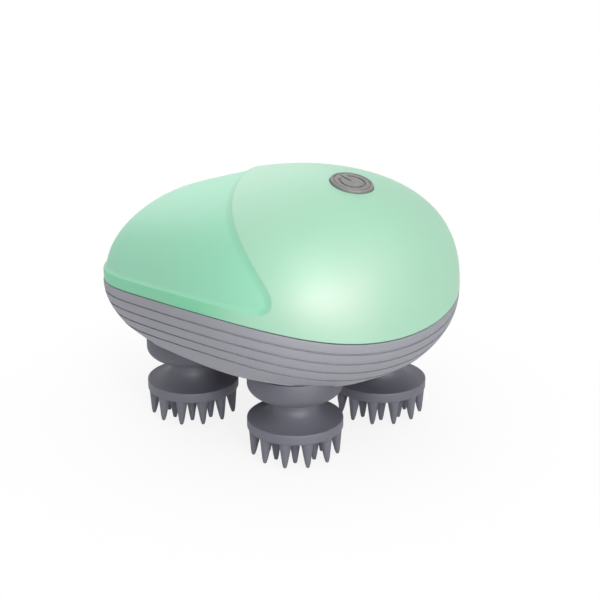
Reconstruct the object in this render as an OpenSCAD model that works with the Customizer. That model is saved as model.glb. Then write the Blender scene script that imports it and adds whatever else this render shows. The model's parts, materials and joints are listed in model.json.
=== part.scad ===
// Electric scalp massager: an egg-shaped palm body on four turning node heads.
// +X points to the nose, +Z up. The origin lies under the body's middle, on the resting plane.

/* [Body] */
// Half length of the body from tail to nose
half_len = 62.2; // [60:0.1:66]
// Half width of the body at its middle section
half_wid = 48.8; // [47:0.1:53]
// Height of the upper dome above the parting line at its middle section
dome_h = 36.1; // [34:0.1:40]
// Height of the parting line at the tail and nose tips
tip_z = 44.1; // [43:0.1:47]
// Rise of the parting line's arch above its tips
arch_rise = 6.85; // [5.5:0.05:8]
// Forward lean of the parting line's arch
arch_skew = 8.5; // [7:0.1:9]
// Wall of the upper and lower shells
wall = 2.2; // [1.8:0.1:2.4]
// Gap along the parting line
parting_gap = 0.15; // [0.1:0.01:0.25]

/* [Palm panel] */
// Height of the rim band between the parting line and the palm panel
band_h = 4; // [3.4:0.1:5]
// Depth of the palm panel below the outer surface
panel_inset = 1; // [0.6:0.1:1.2]
// Gap around the palm panel
panel_gap = 0.15; // [0.1:0.01:0.25]

/* [Lower shell] */
// Depth of the lower shell's side below the parting line
hull_drop = 19.8; // [18.5:0.1:21]
// Distance of the lower edge's side inwards from the body's half width
edge_inset_y = 5.5; // [4:0.1:7]
// Distance of the lower edge's end inwards from the body's half length
edge_inset_x = 11.8; // [10:0.1:13]
// Thickness of the floor
floor_t = 2.4; // [2:0.1:2.8]
// Spacing of the side grooves, measured down the side
groove_step = 3.5; // [3.2:0.05:3.7]
// Depth of the side grooves
groove_d = 0.45; // [0.3:0.05:0.6]

/* [Massage heads] */
// Distance of the head axes inwards from the lower edge's half length
head_inset_x = 26.4; // [26:0.1:27.5]
// Distance of the head axes inwards from the body's half width
head_inset_y = 26.9; // [26.5:0.1:28]
// Radius of the head disc
disc_r = 15.7; // [15:0.1:16.2]
// Height of the head disc's rim
rim_h = 3.4; // [2.8:0.1:4]
// Length of the inner massage nodes
node_len = 9.4; // [8:0.1:10]
// Radius of the outer ring of node tips
outer_ring_r = 14.2; // [13.6:0.1:14.6]
// Radius of the inner ring of nodes
inner_ring_r = 8.7; // [8:0.1:9.2]
// Radius of a node at its root
node_r = 1.85; // [1.6:0.05:2]
// Radius of a node at its tip
tip_r = 0.66; // [0.5:0.02:0.8]
// Nodes in the outer ring
outer_nodes = 12; // [10:1:12]
// Nodes in the inner ring
inner_nodes = 8; // [6:1:8]
// Radius of the neck above the disc
neck_r = 7.4; // [7:0.1:7.8]

/* [Head sockets] */
// Largest radius of the socket bell
bell_r = 15.6; // [15:0.1:16]
// Radius of the socket tube through the floor
tube_r = 14; // [13.6:0.1:14.2]
// Running gap between the neck and the socket lip
lip_gap = 1.1; // [0.8:0.1:1.4]
// Height of the socket's lip above the resting plane
lip_z = 20.7; // [20:0.1:21.5]

/* [Drive] */
// Thickness of the output gears
out_gear_t = 4.6; // [4:0.1:5]
// Radius of the output shafts
shaft_r = 3; // [2.8:0.05:3.2]
// Radial running clearance on shafts and pins
run_clear = 0.04; // [0.02:0.01:0.08]
// Radius of the fixed gear pins
pin_r = 1.5; // [1.3:0.05:1.7]
// Radius of the motor can
motor_r = 12; // [11:0.1:12.2]
// Length of the motor can
motor_len = 22; // [20:0.5:24]

/* [Controls] */
// Radius of the power button
button_r = 7; // [6.5:0.1:7.5]
// Travel of the power button
button_travel = 0.6; // [0.4:0.05:0.8]
// Place of the power button along the body
button_x = 33.9; // [33:0.1:35]
// Height of the charging port above the resting plane
port_z = 38; // [37:0.1:39]

/* [Hidden] */
$fn = 64;
// Overlap of joined solids, and reach of the cutting tools
eps = 0.01;
cut = 20;

// Dome and outline shapes, as shares of the middle section's size
PLAN = [1, 0.257, 0.195, -0.271, 0.251];
DOME = [1, 0.118, 0.193, 0.043, 0.42];
EDGE = [1, 0.26, 0.22];
dome_side_pow = 1.224;
dome_top_pow = 0.86;
hull_pow = 2.19;
edge_shift = -2.1;
edge_half_wid = half_wid - edge_inset_y;
edge_half_len = half_len - edge_inset_x;
edge_round = 1.3;
groove_half = 0.35;
groove_count = 4;

// Front edge of the palm panel: place along the body at each angle away from the ridge
SWOOSH = [[0, -9.8], [13, -6], [26, 0], [40, 9.2], [52, 19.8], [64, 31.2], [74, 38.8], [81, 40.4], [85, 38]];
panel_t = 1.8;

// Clearances: moulded-in pieces, screw holes, screw ends, turning faces, faces that just miss
fit_gap = 0.02;
tube_gap = 0.1;
hole_gap = 0.1;
head_gap = 0.15;
end_gap = 0.3;
face_gap = 0.05;

// Heads, each with its axis at HEADS, seen from the centre gear's axis
head_x = 5.5;
head_dx = edge_half_len - head_inset_x;
head_dy = half_wid - head_inset_y;
HEADS = [[1, -1], [1, 1], [-1, 1], [-1, -1]];
disc_z = node_len;
rim_top_z = disc_z + rim_h;
rim_round = 0.35;
rim_bevel = 0.5;
neck_rise = 5;
neck_top_z = 25;

// Massage nodes: angles at rest, lean and root of the outer ones
outer_phase = -1;
inner_phase = -2.7;
outer_lift = 0.66;
node_lean = 0.8;
node_root = 0.8;
node_tilt = atan(node_lean / (disc_z - outer_lift));

// Hub and shaft inside each head
hub_plate_r = 10.5;
hub_plate_t = 1.8;
hub_plate_z = disc_z + 1.2;
hub_r = 5;
hub_top_z = 28;
shaft_floor = 1.4;
shaft_past = 1;

// Sockets, bushes and seals
bush_r = 6;
seal_t = 2.2;
seal_squeeze = 0.5;
seal_bore_gap = 0.1;
web_z = 31;
socket_wall = 1.8;
socket_gap = 0.25;
bell_side_z = 24.9;
bell_top_z = 27.5;
lip_flat = 1.1;
lip_t = 1.6;

// Drive levels, from the base plate up
plate_t = 2.6;
plate_z = 36.4;
gear_gap = 0.8;
gear_lift = 1.4;
gear_z = plate_z + plate_t + gear_lift;
stage2_z = gear_z + out_gear_t + gear_gap;
stage2_t = 4.6;
stage1_z = stage2_z + stage2_t + gear_gap;
stage1_t = 3.4;
top_plate_gap = 1;
top_plate_z = stage1_z + stage1_t + top_plate_gap;
motor_z = top_plate_z + plate_t;

// Gears: the centre gear drives the four output gears, and the idler stands just clear of it
addendum = 0.85;
dedendum = 1.15;
backlash = 0.12;
pressure_angle = 20;
flank_steps = 4;
out_teeth = 35;
sun_teeth = 30;
gear_reach = sqrt(head_dx * head_dx + head_dy * head_dy);
out_module = 2 * gear_reach / (out_teeth + sun_teeth);
hub_gear_r = 5;
sun_hub_r = 8;
sun_foot_wall = 2;
idler_hub_r = 2.6;
idler_gap = 1.3;
idler_reach = out_module * (sun_teeth / 2 + addendum) + idler_hub_r + idler_gap;
idler_x = head_x - idler_reach;
second_pinion = 14;
second_wheel = 30;
second_module = 2 * idler_reach / (second_pinion + second_wheel);
first_pinion = 14;
first_wheel = 52;
first_module = 2 * idler_reach / (first_pinion + first_wheel);

// Motor
motor_seat = 6;
motor_shaft_r = 1;
motor_boss_r = 3;
motor_boss_h = 1.6;
motor_screw_y = 8;
motor_bore = 4;

// Posts, with the rear one just clear of the idler's large wheel, and screws
post_r = 3;
boss_r = 4;
boss_sink = 0.62;
post_gap = 0.6;
front_post_past = 8;
front_post = head_dx + front_post_past;
rear_post = idler_reach + first_module * (first_wheel / 2 + addendum) + post_r + post_gap;
side_post_inset = 15.8;
side_post = half_wid - side_post_inset;
POSTS = [[front_post, 0], [-rear_post, 0], [0, side_post], [0, -side_post]];
arm_w = 9;
plate_disc_r = 15;
screw_r = 1.2;
screw_head_r = 2.5;
screw_head_t = 1.8;
plate_screw_len = 8;
screw_gap = 1.05;
screw_len = motor_z - screw_head_t - plate_screw_len - screw_gap - floor_z(head_x);
small_screw_r = 1;
small_screw_len = 5.6;
small_head_r = 1.9;
small_head_t = 1.2;
hex_r_share = 0.45;
hex_t_share = 0.6;

// Battery on the top plate
battery_span = [-36, -8];
battery_w = 36;
battery_h = 8.4;
pad_in = 0.6;
pad_t = 0.8;

// Power button, its seal, board and switch, as depths below the ridge
button_rise = 0.4;
button_edge = 0.5;
button_bevel_share = 0.3;
button_gap = 0.25;
button_flange_r = 8.6;
button_flange_z = 4.45;
button_flange_t = 0.8;
button_seal_drop = 0.95;
button_seal_in = 0.2;
button_stem_r = 1.6;
button_stem_z = 6.3;
switch_half = 3;
switch_plunger_r = 1.7;
switch_t = 1.6;
board_depth = 8.9;
board_t = 1.2;
board_l = 24;
board_w = 30;
board_screw_y = 12;
board_post_r = 2.6;
board_post_sink = 0.7;

// Gasket along the parting line
gasket_in = 0.5;
gasket_w = 1.2;
gasket_steps = 96;

// Charging port, its board and its flap, in the port's own frame
port_body_w = 9;
port_body_h = 3.3;
port_len = 7.5;
port_in = 0.1;
port_back = 0.9;
port_skin = 0.35;
port_tongue_w = 6.7;
port_tongue_t = 0.7;
port_tongue_in = 1.2;
port_hole_w = 9.8;
port_hole_h = 4.4;
port_board_in = 0.5;
port_board_l = 14;
port_board_w = 12;
port_board_t = 1;
port_post_x = 14;
port_post_y = 4;
port_post_r = 1.6;
flap_w = 14;
flap_h = 7.6;
flap_t = 1.2;
flap_sink = 0.3;
flap_gap = 0.15;
flap_pad_w = 8;
flap_pad_h = 2.2;

// Parting, outline and dome functions: c is the cosine of the station angle, 1 at the nose
function series(k, c) = [for (i = [0 : len(k) - 1]) k[i] * pow(c, i)] * [for (v = k) 1];
function side(c) = sqrt(max(0, 1 - c * c));
function part_z(c) = tip_z + side(c) * side(c) * (arch_rise + arch_skew * c);
function plan_y(c) = half_wid * side(c) * series(PLAN, c);
function edge_y(c) = edge_half_wid * side(c) * series(EDGE, c);
function dome_rise(c) = dome_h * side(c) * series(DOME, c);
function ridge_z(x) = part_z(x / half_len) + dome_rise(x / half_len);
function floor_z(x) = part_z((x - edge_shift) / edge_half_len) - hull_drop - edge_round + floor_t;

// Point of the upper dome: station angle t, section angle a, depth off below the surface
function dome_pt(t, a, off) =
    let (c = cos(t), s = side(c), across = cos(a), up = max(0, sin(a)))
    [(half_len - off) * c,
     (plan_y(c) - off * s) * sign(across) * pow(abs(across), dome_side_pow),
     part_z(c) + (dome_rise(c) - off * s) * pow(up, dome_top_pow)];

// Point of the lower shell's side: station angle t, depth share v, side -1 or 1
function hull_pt(t, v, sgn, off, drop) =
    let (c = cos(t), s = side(c), g = pow(v, hull_pow))
    let (x = half_len * c, y = plan_y(c))
    [x + (edge_shift + edge_half_len * c - x) * g - off * c,
     sgn * (y + (edge_y(c) - y) * g - off * s),
     part_z(c) - drop];

// Section angle at which the palm panel starts, at a station
function panel_low(c) = asin(pow(min(1, band_h / max(eps, dome_rise(c))), 1 / dome_top_pow));
// Smooth curve through a list of [place, value] points
function smooth(list, u) =
    let (n = len(list) - 1)
    let (i = max([for (k = [0 : n - 1]) list[k][0] <= u ? k : 0]))
    let (p0 = list[max(0, i - 1)], p1 = list[i], p2 = list[i + 1], p3 = list[min(n, i + 2)])
    let (w = (u - p1[0]) / (p2[0] - p1[0]), h = p2[0] - p1[0])
    let (m1 = i == 0 ? 0 : h * (p2[1] - p0[1]) / (p2[0] - p0[0]))
    let (m2 = h * (p3[1] - p1[1]) / (p3[0] - p1[0]))
    (2 * w * w * w - 3 * w * w + 1) * p1[1] + (w * w * w - 2 * w * w + w) * m1
    + (3 * w * w - 2 * w * w * w) * p2[1] + (w * w * w - w * w) * m2;

// Closed skin between two grids of points. Each end row is open, a single point or folded in two
function end_index(kind, j, m) = kind == "point" ? 0 : kind == "fold" ? min(j, m - j) : j;
module thick_skin(outer, inner, first, last) {
    n = len(outer) - 1;
    m = len(outer[0]) - 1;
    function id(k, i, j) =
        (k * (n + 1) + i) * (m + 1)
        + (i == 0 ? end_index(first, j, m) : i == n ? end_index(last, j, m) : j);
    function tidy(f) = [for (t = f) if (t[0] != t[1] && t[1] != t[2] && t[2] != t[0]) [t[2], t[1], t[0]]];
    function cell(a, b, c, d) = tidy([[a, b, c], [a, c, d]]);
    skin = [for (i = [0 : n - 1]) for (j = [0 : m - 1]) each concat(
        cell(id(0, i, j), id(0, i + 1, j), id(0, i + 1, j + 1), id(0, i, j + 1)),
        cell(id(1, i, j), id(1, i, j + 1), id(1, i + 1, j + 1), id(1, i + 1, j)))];
    rims = [for (i = [0 : n - 1]) each concat(
        cell(id(0, i, 0), id(1, i, 0), id(1, i + 1, 0), id(0, i + 1, 0)),
        cell(id(0, i, m), id(0, i + 1, m), id(1, i + 1, m), id(1, i, m)))];
    start = first != "open" ? [] : [for (j = [0 : m - 1]) each
        cell(id(0, 0, j), id(0, 0, j + 1), id(1, 0, j + 1), id(1, 0, j))];
    finish = last != "open" ? [] : [for (j = [0 : m - 1]) each
        cell(id(0, n, j + 1), id(0, n, j), id(1, n, j), id(1, n, j + 1))];
    points = [for (g = [outer, inner]) for (row = g) each row];
    polyhedron(points, concat(skin, rims, start, finish), convexity = 8);
}

// Upper dome shell between two depths, standing off the parting surface by lift
module dome_shell(out, inn, lift, nt = 48, na = 24) {
    function grid(off) = [for (i = [0 : nt]) [for (j = [0 : na])
        dome_pt(180 * i / nt, 180 * j / na, off) + [0, 0, lift]]];
    thick_skin(grid(out), grid(inn), "point", "point");
}

// Palm panel region between two depths, grown sideways by grow
module panel_skin(out, inn, grow, nt = 22, na = 26) {
    // Degrees that the panel's sides and tail end move for each millimetre of growth
    side_turn = 1.1;
    tail_turn = 0.8;
    tail_t = 180 - asin(band_h / (dome_h * series(DOME, -1)));
    mid_low = panel_low(0.5);
    function front_t(f) =
        acos(min(1, (smooth(SWOOSH, abs(2 * f - 1) * (90 - mid_low)) + grow) / half_len));
    function section(c, f) =
        let (low = max(1, panel_low(c) - grow * side_turn))
        low + f * (180 - 2 * low);
    function grid(off) = [for (i = [0 : nt]) [for (j = [0 : na])
        let (f = j / na, start = tail_t + grow * tail_turn)
        let (t = front_t(f) + (start - front_t(f)) * i / nt)
        dome_pt(t, i == nt ? 90 : section(cos(t), f), off) + [0, 0, parting_gap]]];
    thick_skin(grid(out), grid(inn), "open", "point");
}

// Lower shell's skin: sides with grooves, rounded lower edge and arched floor
module hull_skin(nt = 48) {
    step = groove_step / hull_drop;
    half = groove_half / hull_drop;
    sides = concat([[0, 0]],
        [for (k = [1 : groove_count]) each
            [[k * step - half, 0], [k * step, groove_d], [k * step + half, 0]]],
        [[1, 0]]);
    inner_drop = hull_drop + edge_round - floor_t;
    rows = len(sides) + 1;
    function outer_pt(t, k, sgn) = k < len(sides)
        ? hull_pt(t, sides[k][0], sgn, sides[k][1], hull_drop * sides[k][0] + (k == 0 ? parting_gap : 0))
        : hull_pt(t, 1, sgn, edge_round, hull_drop + edge_round);
    function inner_pt(t, k, sgn) =
        let (v = min(k, len(sides) - 1) / (len(sides) - 1))
        hull_pt(t, v, sgn, wall, inner_drop * v + (k == 0 ? parting_gap : 0));
    function ring(t, inside) = concat(
        [for (k = [0 : rows - 1]) inside ? inner_pt(t, k, -1) : outer_pt(t, k, -1)],
        [for (k = [rows - 1 : -1 : 0]) inside ? inner_pt(t, k, 1) : outer_pt(t, k, 1)]);
    thick_skin([for (i = [0 : nt]) ring(180 * i / nt, false)],
        [for (i = [0 : nt]) ring(180 * i / nt, true)], "fold", "fold");
}

// Closed loop swept through a list of sections, each with the same number of points
module loop_skin(rings) {
    n = len(rings);
    m = len(rings[0]);
    function id(i, j) = (i % n) * m + j % m;
    polyhedron([for (r = rings) each r],
        [for (i = [0 : n - 1]) for (j = [0 : m - 1]) each
            [[id(i, j), id(i, j + 1), id(i + 1, j + 1)], [id(i, j), id(i + 1, j + 1), id(i + 1, j)]]],
        convexity = 8);
}

// Involute gears: n teeth, module m
function inv(a) = tan(a) * 180 / PI - a;
function pitch_r(n, m) = n * m / 2;
function tooth_half(n, m, r) =
    90 / n + inv(pressure_angle) - inv(acos(min(1, pitch_r(n, m) * cos(pressure_angle) / r)))
    - backlash / (n * m) * 180 / PI;
function tooth_radii(n, m) =
    let (root = pitch_r(n, m) - dedendum * m, tip = pitch_r(n, m) + addendum * m)
    let (low = max(root, pitch_r(n, m) * cos(pressure_angle)))
    concat(root < low ? [root] : [], [for (s = [0 : flank_steps]) low + (tip - low) * s / flank_steps]);
function polar(r, a) = [r * cos(a), r * sin(a)];
function gear_points(n, m) =
    let (radii = tooth_radii(n, m), last = len(radii) - 1)
    [for (k = [0 : n - 1]) each concat(
        [for (r = radii) polar(r, 360 * k / n - tooth_half(n, m, r))],
        [for (j = [last : -1 : 0]) polar(radii[j], 360 * k / n + tooth_half(n, m, radii[j]))])];
module gear(n, m, t, phase) {
    rotate(phase) linear_extrude(t) polygon(gear_points(n, m));
}
// Angle of a tooth on the second gear that meshes with one at angle a1 on the first, seen along dir
function mesh_phase(dir, a1, n1, n2) = dir + 180 - (180 - (dir - a1) * n1) / n2;

// Place of a head's axis, and of the posts and screws
function head_at(i) = [head_x + HEADS[i][0] * head_dx, HEADS[i][1] * head_dy, 0];
function head_dir(i) = atan2(HEADS[i][1] * head_dy, HEADS[i][0] * head_dx);
function post_at(i) = [head_x + POSTS[i][0], POSTS[i][1], 0];
module at_heads() for (i = [0 : 3]) translate(head_at(i)) children();
module disc(r, z0, z1) translate([0, 0, z0]) cylinder(r = r, h = z1 - z0);
module ring(r, bore, z0, z1) difference() {
    disc(r, z0, z1);
    disc(bore, z0 - eps, z1 + eps);
}
// Screw with its head's flat underside at z = 0 and its shank upwards
module screw(r, length, head_r, head_t) {
    disc(r, 0, length);
    difference() {
        disc(head_r, -head_t, 0);
        translate([0, 0, -head_t - eps])
            cylinder(r = head_r * hex_r_share, h = head_t * hex_t_share, $fn = 6);
    }
}

// Button's own frame: on the ridge, its axis square to the surface
button_tilt = atan((ridge_z(button_x - 1) - ridge_z(button_x + 1)) / 2);
module on_ridge() translate([button_x, 0, ridge_z(button_x)]) rotate([0, button_tilt, 0]) children();

// Port's own frame: on the tail's outer surface, its inward axis square to the surface
function tail_x(z) =
    -half_len + (edge_shift - edge_half_len + half_len) * pow((tip_z - z) / hull_drop, hull_pow);
port_tilt = atan(tail_x(port_z - 0.5) - tail_x(port_z + 0.5));
port_board_z = -port_body_h / 2 - port_board_t;
port_post_foot = tail_x(port_z) + port_post_x * cos(port_tilt) + hull_drop * sin(port_tilt);
port_post_drop = port_z + port_post_x * sin(port_tilt) - floor_z(port_post_foot) + floor_t / 2;
port_post_len = port_post_drop / cos(port_tilt);
module on_tail() translate([tail_x(port_z), 0, port_z]) rotate([0, -port_tilt, 0]) children();
module block(x, y, z) translate([x[0], y[0], z[0]]) cube([x[1] - x[0], y[1] - y[0], z[1] - z[0]]);
// Bar along X with round ends in Y: half width w, half height h
module slot(x0, x1, w, h) {
    block([x0, x1], [h - w, w - h], [-h, h]);
    for (s = [-1, 1]) translate([x0, s * (w - h), 0]) rotate([0, 90, 0]) cylinder(r = h, h = x1 - x0);
}

module front_cover() color("#9bd8b9") difference() {
    union() {
        dome_shell(0, wall, parting_gap);
        on_ridge() for (s = [-1, 1]) translate([0, s * board_screw_y, 0])
            disc(board_post_r, -board_depth, -wall - board_post_sink);
    }
    panel_skin(-wall, 2 * wall, 0);
    on_ridge() disc(button_r + button_gap, -cut / 2, cut / 2);
    on_ridge() for (s = [-1, 1]) translate([0, s * board_screw_y, 0])
        disc(small_screw_r + fit_gap, -board_depth - eps, -board_depth + small_screw_len - board_t + end_gap);
}

module palm_panel() color("#93d2b2") panel_skin(panel_inset, panel_inset + panel_t, -panel_gap);

module power_button() color("#969492") on_ridge() {
    bevel = button_edge * button_bevel_share;
    rotate_extrude() polygon([
        [0, -button_stem_z], [button_stem_r, -button_stem_z],
        [button_stem_r, -button_flange_z - button_flange_t],
        [button_flange_r, -button_flange_z - button_flange_t], [button_flange_r, -button_flange_z],
        [button_r, -button_flange_z], [button_r, button_rise - button_edge],
        [button_r - bevel, button_rise - bevel], [button_r - button_edge, button_rise],
        [0, button_rise]]);
}

module button_seal() color("#2c2d30") on_ridge()
    ring(button_flange_r - button_seal_in, button_r + end_gap, -button_flange_z + face_gap,
        -wall - button_seal_drop);

module lower_shell() color("#9c9aa2") difference() {
    union() {
        hull_skin();
        for (i = [0 : 3]) translate(post_at(i))
            disc(boss_r, floor_z(post_at(i)[0]) - floor_t * boss_sink, plate_z);
        on_tail() for (s = [-1, 1]) translate([port_post_x, s * port_post_y, 0])
            disc(port_post_r, -port_post_len, port_board_z);
    }
    at_heads() {
        disc(bell_r + socket_gap, -eps, bell_top_z + socket_gap);
        disc(tube_r + tube_gap, 0, plate_z + cut);
    }
    for (i = [0 : 3]) translate(post_at(i)) {
        disc(screw_r + head_gap, 0, plate_z + eps);
        disc(screw_head_r + head_gap, 0, floor_z(post_at(i)[0]));
    }
    on_tail() {
        slot(-wall, cut / 2, port_hole_w / 2, port_hole_h / 2);
        block([-wall, flap_sink + flap_t + face_gap], [-flap_w / 2 - flap_gap, flap_w / 2 + flap_gap],
            [-flap_h / 2 - flap_gap, flap_h / 2 + flap_gap]);
    }
}

// Thin seal between the two shells, clear of both
function rim_pt(t, off, z) = [
    (half_len - off) * cos(t),
    sign(sin(t)) * (plan_y(cos(t)) - off * side(cos(t))),
    part_z(cos(t)) + z];
module shell_gasket() color("#3a3b3e") {
    z = parting_gap - face_gap;
    inside = gasket_in + gasket_w;
    loop_skin([for (i = [0 : gasket_steps - 1]) let (t = 360 * i / gasket_steps)
        [rim_pt(t, gasket_in, -z), rim_pt(t, inside, -z), rim_pt(t, inside, z), rim_pt(t, gasket_in, z)]]);
}

module head_socket() color("#4c4c55") {
    lip_r = neck_r + lip_gap;
    flat_r = lip_r + lip_flat;
    rotate_extrude() polygon(concat(
        [[lip_r, lip_z]],
        [for (a = [0 : 10 : 90])
            [flat_r + (bell_r - flat_r) * sin(a), bell_side_z - (bell_side_z - lip_z) * cos(a)]],
        [[tube_r, bell_top_z], [tube_r, plate_z], [bush_r + fit_gap, plate_z], [bush_r + fit_gap, web_z],
            [tube_r - socket_wall, web_z], [tube_r - socket_wall, bell_side_z], [lip_r, lip_z + lip_t]]));
}

module hub_shape(grow) {
    disc(hub_plate_r + grow, hub_plate_z - grow, hub_plate_z + hub_plate_t + grow);
    disc(hub_r + grow, hub_plate_z, hub_top_z + grow);
}
module massage_head() color("#4e4e58") difference() {
    top_r = disc_r - rim_round;
    union() {
        rotate_extrude() polygon(concat(
            [[0, disc_z], [disc_r - rim_bevel, disc_z], [disc_r, disc_z + rim_bevel]],
            [[disc_r, rim_top_z - rim_round]],
            [for (a = [0 : 10 : 90])
                [top_r - (top_r - neck_r) * sin(a), rim_top_z + neck_rise * (1 - cos(a))]],
            [[neck_r, neck_top_z], [0, neck_top_z]]));
        cylinder(r1 = tip_r, r2 = node_r, h = disc_z + eps);
        for (k = [0 : inner_nodes - 1]) rotate(inner_phase + 360 * k / inner_nodes)
            translate([inner_ring_r, 0, 0]) cylinder(r1 = tip_r, r2 = node_r, h = disc_z + eps);
        for (k = [0 : outer_nodes - 1]) rotate(outer_phase + 360 * k / outer_nodes)
            translate([outer_ring_r, 0, outer_lift]) rotate([0, -node_tilt, 0]) {
                translate([0, 0, tip_r]) sphere(r = tip_r, $fn = 24);
                translate([0, 0, tip_r])
                    cylinder(r1 = tip_r, r2 = node_r, h = disc_z - outer_lift - tip_r + node_root);
            }
    }
    hub_shape(fit_gap);
}
module head_hub() color("#d8d8d4") difference() {
    hub_shape(0);
    disc(shaft_r + fit_gap, hub_plate_z + shaft_floor, hub_top_z + eps);
}
module output_shaft() color("#b9bcc2")
    disc(shaft_r, hub_plate_z + shaft_floor + eps, gear_z + out_gear_t + shaft_past);
module output_gear(i) color("#e6e2d6") difference() {
    union() {
        translate([0, 0, gear_z])
            gear(out_teeth, out_module, out_gear_t, mesh_phase(head_dir(i), 0, sun_teeth, out_teeth));
        disc(hub_gear_r, plate_z + plate_t + end_gap, gear_z + eps);
    }
    disc(shaft_r + fit_gap, plate_z, gear_z + out_gear_t + eps);
}
module shaft_bushes() color("#b08d57") at_heads() ring(bush_r, shaft_r + run_clear, web_z, plate_z + plate_t);
module shaft_seals() color("#26272a") at_heads() 
    ring(bush_r + seal_squeeze, shaft_r + seal_bore_gap, web_z - seal_t, web_z);

module base_plate() color("#c9cdd2") difference() {
    union() {
        at_heads() disc(plate_disc_r, plate_z, plate_z + plate_t);
        translate([head_x, 0, 0]) {
            block([-head_dx, head_dx], [-head_dy, head_dy], [plate_z, plate_z + plate_t]);
            block([POSTS[1][0], POSTS[0][0]], [-arm_w / 2, arm_w / 2], [plate_z, plate_z + plate_t]);
            block([-arm_w / 2, arm_w / 2], [POSTS[3][1], POSTS[2][1]], [plate_z, plate_z + plate_t]);
        }
        for (i = [0 : 3]) translate(post_at(i)) {
            disc(boss_r, plate_z, plate_z + plate_t);
            disc(post_r, plate_z, top_plate_z);
        }
    }
    at_heads() disc(bush_r + fit_gap, plate_z - eps, plate_z + plate_t + eps);
    for (x = [head_x, idler_x]) translate([x, 0, 0])
        disc(pin_r + fit_gap, plate_z - eps, plate_z + plate_t + eps);
    for (i = [0 : 3]) translate(post_at(i)) disc(screw_r + fit_gap, plate_z - eps, top_plate_z + eps);
}
module centre_pin() color("#b9bcc2") translate([head_x, 0, 0]) disc(pin_r, plate_z, stage1_z - end_gap);
module idler_pin() color("#b9bcc2") translate([idler_x, 0, 0]) disc(pin_r, plate_z, motor_z);

module centre_gear() color("#d9e2ea") translate([head_x, 0, 0]) difference() {
    union() {
        disc(pin_r + sun_foot_wall, plate_z + plate_t + end_gap, gear_z + eps);
        translate([0, 0, gear_z]) gear(sun_teeth, out_module, out_gear_t, 0);
        disc(sun_hub_r, gear_z + out_gear_t - eps, stage2_z + eps);
        translate([0, 0, stage2_z]) gear(second_wheel, second_module, stage2_t, 0);
    }
    disc(pin_r + run_clear, plate_z, stage1_z);
}
module idler_gear() color("#d9e2ea") translate([idler_x, 0, 0]) difference() {
    union() {
        disc(idler_hub_r, plate_z + plate_t + end_gap, stage2_z + eps);
        translate([0, 0, stage2_z])
            gear(second_pinion, second_module, stage2_t, mesh_phase(180, 0, second_wheel, second_pinion));
        disc(idler_hub_r, stage2_z + stage2_t - eps, top_plate_z - end_gap);
        translate([0, 0, stage1_z]) gear(first_wheel, first_module, stage1_t, 0);
    }
    disc(pin_r + run_clear, plate_z, top_plate_z);
}

module top_plate() color("#c9cdd2") difference() {
    union() {
        translate([head_x, 0, 0]) {
            disc(motor_r + motor_seat, top_plate_z, motor_z);
            block([POSTS[1][0], POSTS[0][0]], [-arm_w / 2, arm_w / 2], [top_plate_z, motor_z]);
            block([-arm_w / 2, arm_w / 2], [POSTS[3][1], POSTS[2][1]], [top_plate_z, motor_z]);
        }
        for (i = [0 : 3]) translate(post_at(i)) disc(boss_r, top_plate_z, motor_z);
        block(battery_span, [-battery_w / 2, battery_w / 2], [top_plate_z, motor_z]);
    }
    translate([head_x, 0, 0]) {
        disc(motor_boss_r + fit_gap, top_plate_z - eps, motor_z + eps);
        for (s = [-1, 1]) translate([0, s * motor_screw_y, 0])
            disc(small_screw_r + hole_gap, top_plate_z - eps, motor_z + eps);
    }
    translate([idler_x, 0, 0]) disc(pin_r + fit_gap, top_plate_z - eps, motor_z + eps);
    for (i = [0 : 3]) translate(post_at(i)) {
        disc(screw_r + hole_gap, top_plate_z - eps, motor_z + eps);
        disc(screw_head_r + hole_gap, motor_z - screw_head_t, motor_z + eps);
    }
}
module motor() color("#b4b8bd") translate([head_x, 0, 0]) difference() {
    union() {
        disc(motor_r, motor_z, motor_z + motor_len);
        disc(motor_boss_r, motor_z - motor_boss_h, motor_z + eps);
        disc(motor_boss_r, motor_z + motor_len - eps, motor_z + motor_len + motor_boss_h);
    }
    disc(motor_shaft_r + run_clear, motor_z - motor_boss_h - eps, motor_z + motor_bore + end_gap);
    for (s = [-1, 1]) translate([0, s * motor_screw_y, 0])
        disc(small_screw_r + fit_gap, motor_z - eps, motor_z + small_screw_len);
}
module motor_pinion() color("#c79a4b") translate([head_x, 0, 0]) {
    disc(motor_shaft_r, stage1_z, motor_z + motor_bore);
    translate([0, 0, stage1_z])
        gear(first_pinion, first_module, stage1_t, mesh_phase(0, 0, first_wheel, first_pinion));
}
module motor_screws() color("#8d9095") translate([head_x, 0, top_plate_z])
    for (s = [-1, 1]) translate([0, s * motor_screw_y, 0])
        screw(small_screw_r, small_screw_len, small_head_r, small_head_t);
module plate_screws() color("#8d9095") for (i = [0 : 3])
    translate(post_at(i) + [0, 0, motor_z - screw_head_t]) mirror([0, 0, 1])
        screw(screw_r, plate_screw_len, screw_head_r, screw_head_t);
module case_screws() color("#8d9095") for (i = [0 : 3]) translate(post_at(i) + [0, 0, floor_z(post_at(i)[0])])
    screw(screw_r, screw_len, screw_head_r, screw_head_t);

module battery_pad() color("#2f3033") block(battery_span + [pad_in, -pad_in],
    [-battery_w / 2 + pad_in, battery_w / 2 - pad_in], [motor_z, motor_z + pad_t]);
module battery() color("#5b7fb5") {
    z = motor_z + pad_t;
    w = battery_w / 2 - pad_in;
    block(battery_span + [pad_in, -pad_in], [-w + battery_h / 2, w - battery_h / 2], [z, z + battery_h]);
    for (s = [-1, 1]) translate([battery_span[0] + pad_in, s * (w - battery_h / 2), z + battery_h / 2])
        rotate([0, 90, 0]) cylinder(r = battery_h / 2, h = battery_span[1] - battery_span[0] - 2 * pad_in);
}

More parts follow.
